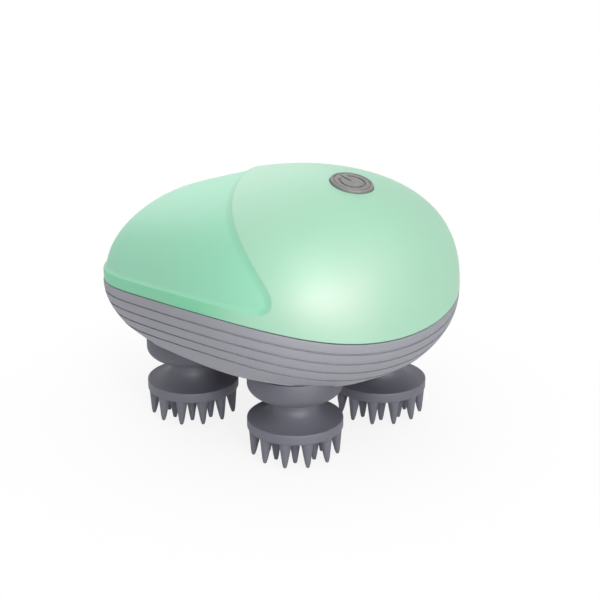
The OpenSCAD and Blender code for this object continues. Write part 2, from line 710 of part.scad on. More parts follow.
module control_board() color("#2f7d4f") on_ridge() difference() {
    block([-board_l / 2, board_l / 2], [-board_w / 2, board_w / 2], [-board_depth - board_t, -board_depth]);
    for (s = [-1, 1]) translate([0, s * board_screw_y, 0])
        disc(small_screw_r + hole_gap, -board_depth - board_t - eps, -board_depth + eps);
}
module tact_switch() color("#3b3c40") on_ridge() {
    block([-switch_half, switch_half], [-switch_half, switch_half], [-board_depth, -board_depth + switch_t]);
    disc(switch_plunger_r, -board_depth + switch_t - eps, -button_stem_z - button_travel - face_gap);
}
module board_screws() color("#8d9095") on_ridge() for (s = [-1, 1])
    translate([0, s * board_screw_y, -board_depth - board_t])
        screw(small_screw_r, small_screw_len, small_head_r, small_head_t);

module charge_port() color("#c2c5ca") on_tail() difference() {
    slot(wall + port_in, wall + port_in + port_len, port_body_w / 2, port_body_h / 2);
    difference() {
        slot(wall, wall + port_in + port_len - port_back,
            port_body_w / 2 - port_skin, port_body_h / 2 - port_skin);
        block([wall + port_tongue_in, wall + port_len], [-port_tongue_w / 2, port_tongue_w / 2],
            [-port_tongue_t / 2, port_tongue_t / 2]);
    }
}
module charge_board() color("#2f7d4f") on_tail()
    block([wall + port_board_in, wall + port_board_in + port_board_l], [-port_board_w / 2, port_board_w / 2],
        [port_board_z, port_board_z + port_board_t]);
module port_flap() color("#8f8d95") on_tail() {
    block([flap_sink, flap_sink + flap_t], [-flap_w / 2, flap_w / 2], [-flap_h / 2, flap_h / 2]);
    block([flap_sink + flap_t - eps, wall], [-flap_pad_w / 2, flap_pad_w / 2],
        [-flap_pad_h / 2, flap_pad_h / 2]);
}

front_cover();
palm_panel();
power_button();
button_seal();
lower_shell();
shell_gasket();
translate(head_at(0)) head_socket();  // head_socket_1
translate(head_at(1)) head_socket();  // head_socket_2
translate(head_at(2)) head_socket();  // head_socket_3
translate(head_at(3)) head_socket();  // head_socket_4
translate(head_at(0)) massage_head();  // massage_head_1
translate(head_at(1)) massage_head();  // massage_head_2
translate(head_at(2)) massage_head();  // massage_head_3
translate(head_at(3)) massage_head();  // massage_head_4
translate(head_at(0)) head_hub();  // head_hub_1
translate(head_at(1)) head_hub();  // head_hub_2
translate(head_at(2)) head_hub();  // head_hub_3
translate(head_at(3)) head_hub();  // head_hub_4
translate(head_at(0)) output_shaft();  // output_shaft_1
translate(head_at(1)) output_shaft();  // output_shaft_2
translate(head_at(2)) output_shaft();  // output_shaft_3
translate(head_at(3)) output_shaft();  // output_shaft_4
translate(head_at(0)) output_gear(0);  // output_gear_1
translate(head_at(1)) output_gear(1);  // output_gear_2
translate(head_at(2)) output_gear(2);  // output_gear_3
translate(head_at(3)) output_gear(3);  // output_gear_4
shaft_bushes();
shaft_seals();
base_plate();
centre_pin();
idler_pin();
centre_gear();
idler_gear();
top_plate();
motor();
motor_pinion();
motor_screws();
plate_screws();
case_screws();
battery_pad();
battery();
control_board();
tact_switch();
board_screws();
charge_port();
charge_board();
port_flap();
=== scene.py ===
"""Looks of the electric scalp massager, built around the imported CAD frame.

Lengths in the shape functions are millimetres, as in the part's source; meshes are metres.
The nose points along +X, and the heads stand on z = 0.
"""
import json
import math

import bmesh
import bpy
import numpy as np
from mathutils import Matrix, Vector, kdtree


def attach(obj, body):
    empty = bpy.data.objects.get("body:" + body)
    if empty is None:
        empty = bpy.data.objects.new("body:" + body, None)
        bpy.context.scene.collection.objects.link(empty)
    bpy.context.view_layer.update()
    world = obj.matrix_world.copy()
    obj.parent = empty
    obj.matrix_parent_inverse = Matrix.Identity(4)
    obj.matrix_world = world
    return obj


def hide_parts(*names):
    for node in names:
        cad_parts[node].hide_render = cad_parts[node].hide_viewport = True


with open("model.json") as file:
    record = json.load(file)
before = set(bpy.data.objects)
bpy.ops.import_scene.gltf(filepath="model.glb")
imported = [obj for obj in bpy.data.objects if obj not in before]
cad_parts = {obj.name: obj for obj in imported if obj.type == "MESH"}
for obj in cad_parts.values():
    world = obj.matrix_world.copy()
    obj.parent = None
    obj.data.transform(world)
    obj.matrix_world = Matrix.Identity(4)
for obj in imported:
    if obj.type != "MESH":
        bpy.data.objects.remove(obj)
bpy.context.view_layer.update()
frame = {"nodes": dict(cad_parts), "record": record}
NODES = frame["nodes"]
MM = 0.001

# ---------------------------------------------------------------- sizes, as in the part's source
HALF_LEN, HALF_WID, DOME_H = 62.2, 48.8, 36.1
TIP_Z, ARCH_RISE, ARCH_SKEW = 44.1, 6.85, 8.5
WALL, PARTING_GAP, BAND_H, PANEL_INSET, PANEL_T = 2.2, 0.15, 4.0, 1.0, 1.8
HULL_DROP, EDGE_WID, EDGE_LEN, EDGE_SHIFT = 19.8, 43.3, 50.4, -2.1
GROOVE_STEP, GROOVES = 3.5, 4
PLAN = (1, 0.257, 0.195, -0.271, 0.251)
DOME = (1, 0.118, 0.193, 0.043, 0.42)
EDGE = (1, 0.26, 0.22)
SIDE_POW, TOP_POW, HULL_POW = 1.224, 0.86, 2.19
SWOOSH = ((0, -9.8), (13, -6), (26, 0), (40, 9.2), (52, 19.8), (64, 31.2), (74, 38.8),
          (81, 40.4), (85, 38))
HEAD_X, HEAD_DX = 5.5, 24.0
HEAD_DY = HALF_WID - 26.9
HEADS = [(HEAD_X + sx * HEAD_DX, sy * HEAD_DY) for sx, sy in ((1, -1), (1, 1), (-1, 1), (-1, -1))]
BUTTON_X, BUTTON_R, BUTTON_RISE = 33.9, 7.0, 0.4
FLANGE_R, FLANGE_Z, FLANGE_T = 8.6, 4.45, 0.8
STEM_R, STEM_Z = 1.6, 6.3
DISC_Z, DISC_R, RIM_TOP_Z = 9.4, 15.7, 12.8
NECK_R, NECK_RISE, NECK_TOP_Z = 7.4, 5.0, 25.0
TIP_R, NODE_LEAN, OUTER_LIFT = 0.66, 0.8, 0.66
INNER_NODES, INNER_RING_R, INNER_PHASE = 8, 8.7, -2.7
OUTER_NODES, OUTER_RING_R, OUTER_PHASE = 12, 14.2, -1
LIP_R, LIP_Z, LIP_FLAT = 8.5, 20.7, 1.1
BELL_R, BELL_SIDE_Z, SOCKET_GAP = 15.6, 24.9, 0.25
TUBE_R, TUBE_WALL, TUBE_GAP = 14.0, 1.8, 0.1
BUSH_HOLE_R, WEB_Z, PLATE_Z = 6.02, 31.0, 36.4
SCREW_HOLE_R = 2.65
PORT_Z, PORT_HOLE_W, PORT_HOLE_H = 38.0, 9.8, 4.4
FLAP_W, FLAP_H, FLAP_T, FLAP_SINK = 14.0, 7.6, 1.2, 0.3
FLAP_GAP, FACE_GAP, FLAP_PAD_W, FLAP_PAD_H = 0.15, 0.05, 8.0, 2.2

SKIN = 0.02  # keeps the dressed skin inside the CAD box
TOP_SKIN = 0.06  # and the dome's top, where the CAD facets lie lower


def series(k, c):
    return sum(v * c ** i for i, v in enumerate(k))


def side(c):
    return np.sqrt(np.clip(1 - c * c, 0, None))


def part_z(c):
    return TIP_Z + side(c) ** 2 * (ARCH_RISE + ARCH_SKEW * c)


def plan_y(c):
    return HALF_WID * side(c) * series(PLAN, c)


def edge_y(c):
    return EDGE_WID * side(c) * series(EDGE, c)


def dome_rise(c):
    return DOME_H * side(c) * series(DOME, c)


def ridge_z(x):
    return float(part_z(x / HALF_LEN) + dome_rise(x / HALF_LEN))


def dome_pt(t, a, off):
    """Upper dome: station angle t, section angle a (radians), depth off below the surface."""
    c, across, up = np.cos(t), np.cos(a), np.clip(np.sin(a), 0, None)
    s = side(c)
    return np.stack([(HALF_LEN - off) * c,
                     (plan_y(c) - off * s) * np.sign(across) * np.abs(across) ** SIDE_POW,
                     part_z(c) + (dome_rise(c) - off * s) * up ** TOP_POW + PARTING_GAP], -1)


def dome_height(t, a):
    """Height of the dome's surface above the parting line."""
    return dome_rise(np.cos(t)) * np.sin(a) ** TOP_POW


def hull_pt(t, v, sgn, off, drop):
    """Side of the lower shell: station angle t, share v of the way down, side sgn of -1 or 1."""
    c = np.cos(t)
    s, g, x, y = side(c), v ** HULL_POW, HALF_LEN * c, plan_y(c)
    return np.stack([x + (EDGE_SHIFT + EDGE_LEN * c - x) * g - off * c,
                     sgn * (y + (edge_y(c) - y) * g - off * s),
                     part_z(c) - drop], -1)


def tail_x(z):
    """Place of the lower shell's skin at the tail, at a height above the resting plane."""
    return -HALF_LEN + (EDGE_SHIFT - EDGE_LEN + HALF_LEN) * ((TIP_Z - z) / HULL_DROP) ** HULL_POW


def panel_low(c):
    """Section angle at which the band under the palm panel ends."""
    return np.arcsin(np.minimum(1, BAND_H / np.maximum(0.01, dome_rise(c))) ** (1 / TOP_POW))


def swoosh_x(u):
    """Smooth curve through SWOOSH, u in degrees away from the ridge."""
    k = np.array(SWOOSH, float)
    n = len(k) - 1
    i = np.clip(np.searchsorted(k[:, 0], u, side="right") - 1, 0, n - 1)
    p0, p1, p2, p3 = k[np.maximum(0, i - 1)], k[i], k[i + 1], k[np.minimum(n, i + 2)]
    h = p2[:, 0] - p1[:, 0]
    w = (u - p1[:, 0]) / h
    m1 = np.where(i == 0, 0, h * (p2[:, 1] - p0[:, 1]) / (p2[:, 0] - p0[:, 0]))
    m2 = h * (p3[:, 1] - p1[:, 1]) / (p3[:, 0] - p1[:, 0])
    return ((2 * w ** 3 - 3 * w ** 2 + 1) * p1[:, 1] + (w ** 3 - 2 * w ** 2 + w) * m1
            + (3 * w ** 2 - 2 * w ** 3) * p2[:, 1] + (w ** 3 - w ** 2) * m2)


# ---------------------------------------------------------------- mesh helpers
MERGE = 1e-6  # metres within which points count as one
SHARP = 35    # degrees from which an edge stays sharp


def add_object(name, data):
    obj = bpy.data.objects.new(name, data)
    bpy.context.scene.collection.objects.link(obj)
    return obj


def shade(obj, sharp):
    obj.data.polygons.foreach_set("use_smooth", [True] * len(obj.data.polygons))
    obj.data.set_sharp_from_angle(angle=math.radians(sharp))


def make_object(name, verts, faces, merge=MERGE, sharp=SHARP):
    """Mesh object from millimetre points, with doubles merged and normals outwards."""
    mesh = bpy.data.meshes.new(name)
    mesh.from_pydata((np.asarray(verts) * MM).tolist(), [],
                     [tuple(int(i) for i in face) for face in faces])
    obj = add_object(name, mesh)
    bm = bmesh.new()
    bm.from_mesh(mesh)
    bmesh.ops.remove_doubles(bm, verts=bm.verts, dist=merge)
    bmesh.ops.dissolve_degenerate(bm, edges=bm.edges, dist=merge * 0.5)
    bmesh.ops.recalc_face_normals(bm, faces=bm.faces)
    bm.to_mesh(mesh)
    bm.free()
    shade(obj, sharp)
    return obj


def apply_modifiers(obj):
    depsgraph = bpy.context.evaluated_depsgraph_get()
    mesh = bpy.data.meshes.new_from_object(obj.evaluated_get(depsgraph))
    obj.modifiers.clear()
    obj.data = mesh


def combine(obj, others, operation, sharp=SHARP):
    """Boolean with closed solids, applied at once; the others are deleted."""
    for other in others:
        mod = obj.modifiers.new("cut", "BOOLEAN")
        mod.operation, mod.object, mod.solver = operation, other, "MANIFOLD"
    apply_modifiers(obj)
    for other in others:
        bpy.data.objects.remove(other, do_unlink=True)
    shade(obj, sharp)
    return obj


def lathe(name, profile, steps, sharp=SHARP):
    """Closed turned solid from (r, z) points that start and end on the axis, or form a ring."""
    ring = profile[0][0] > 0
    points = profile if ring else profile[1:-1]
    verts, faces = [], []
    n = len(points)
    for k in range(steps):
        a = 2 * math.pi * k / steps
        verts += [(r * math.cos(a), r * math.sin(a), z) for r, z in points]
    for k in range(steps):
        p, q = k * n, (k + 1) % steps * n
        faces += [(p + j, q + j, q + j + 1, p + j + 1) for j in range(n - 1)]
        if ring:
            faces.append((p + n - 1, q + n - 1, q, p))
    if not ring:
        bottom, top = len(verts), len(verts) + 1
        verts += [(0, 0, profile[0][1]), (0, 0, profile[-1][1])]
        for k in range(steps):
            p, q = k * n, (k + 1) % steps * n
            faces += [(bottom, q, p), (top, p + n - 1, q + n - 1)]
    return make_object(name, verts, faces, sharp=sharp)


def arc(cr, cz, r, a0, a1, n):
    """Points of an arc in the (r, z) plane, angles in degrees."""
    return [(cr + r * math.cos(math.radians(a0 + (a1 - a0) * i / n)),
             cz + r * math.sin(math.radians(a0 + (a1 - a0) * i / n))) for i in range(n + 1)]


def disc(r, low, high, steps=128):
    """Plain round cutter."""
    return lathe("cutter", [(0, low), (r, low), (r, high), (0, high)], steps)


def slab(x, y, z):
    """Plain box from its three spans: a cutter, or the start of the flap."""
    verts = [(a, b, c) for a in x for b in y for c in z]
    faces = [(0, 1, 3, 2), (4, 6, 7, 5), (0, 4, 5, 1), (2, 3, 7, 6), (0, 2, 6, 4), (1, 5, 7, 3)]
    return make_object("cutter", verts, faces)


def around(size):
    """Span of a size with zero in its middle."""
    return -size / 2, size / 2


def move(obj, matrix):
    obj.data.transform(matrix)
    return obj


def place(x, y, z, axis="Z", angle=0.0):
    turn = Matrix.Rotation(math.radians(angle), 4, axis)
    return Matrix.Translation((x * MM, y * MM, z * MM)) @ turn


def grid_tris(rows, cols):
    out = []
    for i in range(rows - 1):
        for j in range(cols - 1):
            a, b, c, d = i * cols + j, (i + 1) * cols + j, (i + 1) * cols + j + 1, i * cols + j + 1
            out += [(a, b, c), (a, c, d)]
    return np.array(out)


# ---------------------------------------------------------------- edge of the palm panel
EDGE_SPACING = 0.25            # between the points of the edge
EDGE_SOFTEN = 1.3              # reach of the softening of its corners
MEET_C = 0.5                   # station, by its cosine, where the swoosh's reach is read
FRONT_STEPS, BACK_STEPS = 600, 900
BACK_CROWD = 0.8               # below 1, the steps are longer near the front
INSIDE_CHUNK = 4000            # points tested at once
SNAP = 0.012                   # points this near a cut line count as on it


def sphere_of(t, a):
    return np.stack([np.cos(t), np.sin(t) * np.cos(a), np.sin(t) * np.sin(a)], -1)


def angles_of(p):
    p = p / np.linalg.norm(p, axis=-1, keepdims=True)
    return np.arccos(np.clip(p[..., 0], -1, 1)), np.arctan2(np.clip(p[..., 2], 0, None), p[..., 1])


def panel_edge():
    """Closed curve round the palm panel, evenly spaced, its corners softened."""
    reach = 90 - math.degrees(float(panel_low(np.array(MEET_C))))
    f = np.linspace(0, 1, FRONT_STEPS)
    x = swoosh_x(np.abs(2 * f - 1) * reach)
    low = panel_low(x / HALF_LEN)
    front = np.stack([np.arccos(x / HALF_LEN), low + f * (math.pi - 2 * low)], -1)
    end = math.pi - math.asin(BAND_H / (DOME_H * series(DOME, -1)))
    t = front[-1, 0] + (end - front[-1, 0]) * np.linspace(0, 1, BACK_STEPS)[1:] ** BACK_CROWD
    low = panel_low(np.cos(t))
    far = np.stack([t, math.pi - low], -1)
    near = np.stack([t, low], -1)[::-1]
    curve = np.concatenate([front, far, near])
    pts = dome_pt(curve[:, 0], curve[:, 1], 0)
    sphere = sphere_of(curve[:, 0], curve[:, 1])
    run = np.concatenate([[0], np.cumsum(np.linalg.norm(np.diff(pts, axis=0), axis=1))])
    s = np.linspace(0, run[-1], int(run[-1] / EDGE_SPACING), endpoint=False)
    even = np.stack([np.interp(s, run, sphere[:, k]) for k in range(3)], -1)
    width = int(3 * EDGE_SOFTEN / EDGE_SPACING)
    kernel = np.exp(-0.5 * (np.arange(-width, width + 1) * EDGE_SPACING / EDGE_SOFTEN) ** 2)
    kernel /= kernel.sum()
    ext = np.concatenate([even[-width:], even, even[:width]])
    smooth = np.stack([np.convolve(ext[:, k], kernel, "valid") for k in range(3)], -1)
    return angles_of(smooth)


EDGE_T, EDGE_A = panel_edge()
EDGE_PTS = dome_pt(EDGE_T, EDGE_A, 0)
EDGE_FLAT = sphere_of(EDGE_T, EDGE_A)[:, :2]
EDGE_TREE = kdtree.KDTree(len(EDGE_PTS))
for number, point in enumerate(EDGE_PTS):
    EDGE_TREE.insert(point, number)
EDGE_TREE.balance()


def inside_edge(flat):
    """Even-odd test against the panel's edge in the plan of the unit hemisphere."""
    hit = np.zeros(len(flat), bool)
    a, b = EDGE_FLAT, np.roll(EDGE_FLAT, -1, axis=0)
    for start in range(0, len(flat), INSIDE_CHUNK):
        part = slice(start, start + INSIDE_CHUNK)
        x, y = flat[part, 0, None], flat[part, 1, None]
        cross = (a[:, 1] > y) != (b[:, 1] > y)
        at = a[:, 0] + (y - a[:, 1]) * (b[:, 0] - a[:, 0]) / np.where(cross, b[:, 1] - a[:, 1], 1)
        hit[part] = (np.sum(cross & (x < at), axis=1) % 2) == 1
    return hit


def edge_distance(dom):
    """Distance from the panel's edge over the surface, negative inside the panel."""
    pts = dome_pt(dom[:, 0], dom[:, 1], 0)
    near = np.array([EDGE_TREE.find(p)[1] for p in pts])
    best = np.full(len(pts), np.inf)
    n = len(EDGE_PTS)
    for shift in (-1, 0):
        a, b = EDGE_PTS[(near + shift) % n], EDGE_PTS[(near + shift + 1) % n]
        ab = b - a
        w = np.clip(np.sum((pts - a) * ab, 1) / np.sum(ab * ab, 1), 0, 1)[:, None]
        best = np.minimum(best, np.linalg.norm(pts - a - ab * w, axis=1))
    flat = sphere_of(dom[:, 0], dom[:, 1])[:, :2]
    return np.where(inside_edge(flat), -best, best)


def cut_sheet(dom, tris, dist, level):
    """Splits triangles along dist == level; returns the new points, triangles and distances."""
    f = dist - level
    f[np.abs(f) < SNAP] = 0
    s = np.sign(f).astype(int)
    ts = s[tris]
    crossing = (ts.min(1) < 0) & (ts.max(1) > 0)
    keep, cross = tris[~crossing], tris[crossing]
    new_dom, made, out = [], {}, []

    def middle(i, j):
        key = (min(i, j), max(i, j))
        if key not in made:
            w = f[i] / (f[i] - f[j])
            made[key] = len(dom) + len(new_dom)
            new_dom.append(dom[i] + (dom[j] - dom[i]) * w)
        return made[key]

    for tri in cross:
        tri = [int(i) for i in tri]
        signs = [int(s[i]) for i in tri]
        on_line = 0 in signs
        k = signs.index(0) if on_line else [signs.count(v) for v in signs].index(1)
        a, b, c = tri[k], tri[(k + 1) % 3], tri[(k + 2) % 3]
        if on_line:
            p = middle(b, c)
            out += [(a, b, p), (a, p, c)]
        else:
            p, q = middle(a, b), middle(a, c)
            out += [(a, p, q), (p, b, c), (p, c, q)]
    if out:
        dom = np.concatenate([dom, np.array(new_dom)])
        dist = np.concatenate([dist, np.full(len(new_dom), float(level))])
        keep = np.concatenate([keep, np.array(out)])
    return dom, keep, dist


def trim(dom, tris, dist, inside):
    """Keeps the triangles on one side and drops the points that no triangle uses."""
    middle = dist[tris].mean(1)
    tris = tris[middle < 0] if inside else tris[middle > 0]
    used, tris = np.unique(tris, return_inverse=True)
    return dom[used], tris.reshape(-1, 3), dist[used]


def rim_edges(tris):
    """Boundary edges of a triangle sheet, in the direction that their triangle runs."""
    edges = np.concatenate([tris[:, [0, 1]], tris[:, [1, 2]], tris[:, [2, 0]]])
    seen = {(int(a), int(b)): True for a, b in edges}
    return [edge for edge in seen if edge[::-1] not in seen]


def thick_sheet(name, tris, layers, sharp=40):
    """Solid between a front sheet and a back sheet; layers holds points from front to back."""
    # Points that share a place, such as those at the two tips, count as one
    front = np.round(layers[0], 5)
    _, first, back = np.unique(front, axis=0, return_index=True, return_inverse=True)
    tris = first[back.reshape(-1)][tris]
    tris = tris[np.all(tris != np.roll(tris, -1, axis=1), axis=1)]
    n = len(front)
    faces = [tuple(t) for t in tris] + [tuple(t[::-1] + n * (len(layers) - 1)) for t in tris]
    for a, b in rim_edges(tris):
        for k in range(len(layers) - 1):
            faces.append((b + n * k, a + n * k, a + n * (k + 1), b + n * (k + 1)))
    return make_object(name, np.concatenate(layers), faces, merge=2 * MERGE, sharp=sharp)


# ---------------------------------------------------------------- upper shell and palm panel
PANEL_DEPTH = 0.95   # the panel's skin below the cover's
STEP_OUT = 0.65      # reach of the soft step into the cover
STEP_LOW, STEP_IN = 1.4, 2.5  # and into the panel, along the band and along the swoosh
STEP_RISE = (5, 6)   # height from which that reach grows, and over which
STEP_LEVELS = (0.12, 0.25, 0.4, 0.55, 0.7, 0.85, 1.0, 1.2)
CREST, CREST_POW = 0.15, 2      # share of the step that lies on the cover's side of the seam
FILLET_POW = 1.45    # how round the panel's side of it is
BAND_LEAN, LEAN_POW = 0.3, 1.6  # how far the band under the panel leans in at the parting line
BAND_FROM, BAND_OVER = 31.0, 12  # x at which that lean starts, and over which it grows
PARTING_R = 0.22     # rounding along the parting line
SEAM = 0.012         # half of the seam between cover and panel
MID_WALL = 0.6       # share of the wall at which its middle layer lies
STATIONS, SECTIONS = 250, 75    # points along the dome, and from the parting line to the ridge
LOW_SECTIONS = (0, 0.05, 0.15, 0.35, 0.7, 1.2)  # closer ones at the parting line, degrees
FIRST_SECTION = 1.9  # first evenly spaced one, degrees


def rounding(d, r):
    """Depth of a rounded edge at distance d from it."""
    d = np.clip(d, 0, r)
    return r - np.sqrt(np.clip(r * r - (r - d) ** 2, 0, None))


def step_depth(dist, height):
    """Depth of the skin across the step: a round crest on the cover, a long fillet on the panel."""
    crest = CREST * np.clip(1 - dist / STEP_OUT, 0, 1) ** CREST_POW
    rise_from, rise_over = STEP_RISE
    grown = np.clip((height - rise_from) / rise_over, 0, 1)
    reach = STEP_LOW + (STEP_IN - STEP_LOW) * grown
    w = np.clip(1 + dist / reach, 0, 1)
    fillet = 1 - (1 - CREST) * w ** FILLET_POW
    return PANEL_DEPTH * np.where(dist > 0, crest, fillet)


def band_lean(t, height):
    """How far the band under the panel leans in."""
    lean = BAND_LEAN * np.clip(1 - height / BAND_H, 0, 1) ** LEAN_POW
    return lean * np.clip((BAND_FROM - HALF_LEN * np.cos(t)) / BAND_OVER, 0, 1)


def dome_domain():
    """Station and section angles of a grid over the dome, and its triangles."""
    t = np.linspace(0, math.pi, STATIONS)
    even = np.linspace(math.radians(FIRST_SECTION), math.pi / 2, SECTIONS)
    a = np.concatenate([np.radians(LOW_SECTIONS), even])
    a = np.concatenate([a, math.pi - a[-2::-1]])
    dom = np.stack(np.meshgrid(t, a, indexing="ij"), -1).reshape(-1, 2)
    return dom, grid_tris(len(t), len(a))


def dome_sheet(seam, reach, inside):
    """One side of the panel's edge, cut from the dome; the distances count from the seam."""
    (dom, tris), dist = DOME_GRID, DOME_DIST
    for level in [seam] + [reach * share for share in STEP_LEVELS]:
        dom, tris, dist = cut_sheet(dom, tris, dist, level)
    dom, tris, dist = trim(dom, tris, dist - seam, inside)
    t, a = dom.T
    return tris, dist, t, a, dome_height(t, a)


def dome_layer(t, a, depth):
    return dome_pt(t, a, np.full(len(t), depth))


def build_cover():
    tris, dist, t, a, height = dome_sheet(SEAM, STEP_OUT, False)
    depth = np.maximum(step_depth(dist, height) + band_lean(t, height),
                       rounding(height, PARTING_R))
    layers = [dome_pt(t, a, depth + SKIN + TOP_SKIN * np.sin(a)),
              dome_layer(t, a, MID_WALL * WALL), dome_layer(t, a, WALL)]
    return thick_sheet("cover_skin", tris, layers)


def build_panel():
    tris, dist, t, a, height = dome_sheet(-SEAM, -STEP_IN, True)
    depth = step_depth(dist, height) + SKIN + TOP_SKIN * np.sin(a)
    return thick_sheet("panel_skin", tris,
                       [dome_pt(t, a, depth), dome_layer(t, a, PANEL_INSET + PANEL_T)])


DOME_GRID = dome_domain()
DOME_DIST = edge_distance(DOME_GRID[0])
cover, panel = build_cover(), build_panel()

# ---------------------------------------------------------------- power button
HOLE_R = 7.22        # hole for it in the cover
THROUGH = 20         # reach of a cutter that goes through a wall
CAP_DROP = 0.04      # the cap's top below the source's
CAP_SIDE, CAP_EDGE = 0.75, 0.5  # depth at which its side ends, and rounding of its edge
# Ring groove and sunk face: distance from the middle, and depth below the top
CAP_FACE = ((6.3, 0), (6.14, 0.06), (6.06, 0.34), (5.86, 0.34), (5.78, 0.1), (5.6, 0.06),
            (3, 0.06), (0, 0.06))
SYMBOL_IN, SYMBOL_OUT, SYMBOL_DEEP = 3.6, 4.5, 0.5
SYMBOL_GAP, SYMBOL_STEPS = 27, 64    # half of the ring's opening, degrees, and steps round it
STROKE_X, STROKE_W = (-5.0, -0.3), 0.8

button_tilt = math.degrees(math.atan((ridge_z(BUTTON_X - 1) - ridge_z(BUTTON_X + 1)) / 2))
ON_RIDGE = place(BUTTON_X, 0, ridge_z(BUTTON_X), "Y", button_tilt)
combine(cover, [move(disc(HOLE_R, -THROUGH, THROUGH), ON_RIDGE)], "DIFFERENCE", sharp=40)


def build_button():
    top, under = BUTTON_RISE - CAP_DROP, -FLANGE_Z - FLANGE_T
    profile = [(0, -STEM_Z), (STEM_R, -STEM_Z), (STEM_R, under), (FLANGE_R, under),
               (FLANGE_R, -FLANGE_Z), (BUTTON_R, -FLANGE_Z), (BUTTON_R, top - CAP_SIDE)]
    profile += arc(BUTTON_R - CAP_EDGE, top - CAP_EDGE, CAP_EDGE, 0, 90, 8)
    profile += [(r, top - depth) for r, depth in CAP_FACE]
    button = lathe("power_cap", profile, 128, sharp=60)
    # Engraved power symbol, its stroke and opening towards the tail
    low, high = top - SYMBOL_DEEP, top + 1
    verts, faces = [], []
    for i in range(SYMBOL_STEPS + 1):
        a = math.radians(180 + SYMBOL_GAP + (360 - 2 * SYMBOL_GAP) * i / SYMBOL_STEPS)
        verts += [(r * math.cos(a), r * math.sin(a), z) for r, z in
                  ((SYMBOL_IN, low), (SYMBOL_OUT, low), (SYMBOL_OUT, high), (SYMBOL_IN, high))]
    for i in range(SYMBOL_STEPS):
        p, q = 4 * i, 4 * i + 4
        faces += [(p + j, q + j, q + (j + 1) % 4, p + (j + 1) % 4) for j in range(4)]
    faces += [(3, 2, 1, 0), tuple(4 * SYMBOL_STEPS + j for j in range(4))]
    ring = make_object("cutter", verts, faces)
    stroke = slab(STROKE_X, around(STROKE_W), (low, high))
    combine(button, [ring, stroke], "DIFFERENCE")
    return move(button, ON_RIDGE)


button = build_button()


# ---------------------------------------------------------------- lower shell
HULL_STATIONS = 340  # rings of points from nose to tail
PARTING_ROWS = ((0, PARTING_R), (0.004, 0.09), (0.009, 0.02), (0.014, 0))  # share down, depth
# A groove: millimetres past its line, and depth
GROOVE_ROWS = ((-0.62, 0), (-0.46, 0.06), (-0.28, 0.24), (-0.1, 0.46), (0.02, 0.55),
               (0.1, 0.52), (0.16, 0.34), (0.2, 0.1), (0.27, 0))
PLAIN_ROWS = (0.25, 0.5, 0.75)   # shares of the way between two grooves
RIM_R, RIM_ANGLES = 0.5, (22, 45, 68, 90)  # rounding of the bottom edge
FLOOR_STRIPS = 13    # strips across the floor
FLOOR_SKIN = 1.2     # thickness of the dressed floor above that rounding
LAST_GROOVE = (GROOVES * GROOVE_STEP + 0.5) / HULL_DROP  # share at which the last band starts
# How far the last band stops short of the source's bottom edge, by the cosine of the station
RAISE_C, RAISE_BY = zip((-1, 1.6), (-0.7, 1.8), (-0.4, 1.8), (-0.1, 1.2), (0.1, 0.5),
                        (0.35, 0.0), (0.55, 0.1), (0.7, 0.9), (0.85, 1.5), (1, 1.8))
RAISE_SOFTEN, RAISE_OWN = 0.06, 0.125  # reach of its softening, and the share of a point's own
SOCKET_TOP = 30.0    # top of the hole for the socket's bell
POSTS = ((32, 0), (-39.5, 0), (0, 33), (0, -33))  # screw holes, from the middle of the heads
TUBE_TOP, POST_TOP = 60, 40  # tops of the other cutters, well above the floor
PORT_IN, RECESS_OUT = 6, 3  # depth of the port's hole, and reach of the cutters outwards


def band_drop(c, v):
    """Depth below the parting line at share v of the side; the last band has an arched edge."""
    own, tailward, noseward = [np.interp(c + shift, RAISE_C, RAISE_BY)
                               for shift in (0, -RAISE_SOFTEN, RAISE_SOFTEN)]
    short = RAISE_OWN * own + (1 - RAISE_OWN) / 2 * (tailward + noseward)
    w = np.clip((v - LAST_GROOVE) / (1 - LAST_GROOVE), 0, 1)
    return HULL_DROP * v - w * short


def hull_rows():
    """Rows down the side: share of it, depth below the skin, and drop past the bottom edge."""
    step = GROOVE_STEP / HULL_DROP
    rows = [(v, depth, 0) for v, depth in PARTING_ROWS]
    for k in range(1, GROOVES + 1):
        start, end = rows[-1][0], k * step + GROOVE_ROWS[0][0] / HULL_DROP
        rows += [(start + (end - start) * w, 0, 0) for w in PLAIN_ROWS]
        rows += [(k * step + past / HULL_DROP, depth, 0) for past, depth in GROOVE_ROWS]
    start = rows[-1][0]
    rows += [(start + (1 - start) * w, 0, 0) for w in (*PLAIN_ROWS, 1)]
    return rows + [(1, RIM_R * (1 - math.cos(phi)), RIM_R * math.sin(phi))
                   for phi in np.radians(RIM_ANGLES)]


def hull_sheet(rows, t, inner):
    """Outer or inner face of the shell: down one side, across the floor, up the other."""
    c, sides = np.cos(t), {}
    for sgn in (-1, 1):
        sides[sgn] = []
        for v, depth, past in rows:
            off, extra = (WALL, -v * FLOOR_SKIN) if inner else (depth + SKIN, past)
            drop = band_drop(c, v) + PARTING_GAP * (1 - v)
            sides[sgn].append(hull_pt(t, v, sgn, off, drop + extra))
    left, right = sides[-1], sides[1]
    floor = [left[-1] + (right[-1] - left[-1]) * w
             for w in np.linspace(0, 1, FLOOR_STRIPS + 1)[1:-1]]
    return np.stack(left + floor + right[::-1], 1)


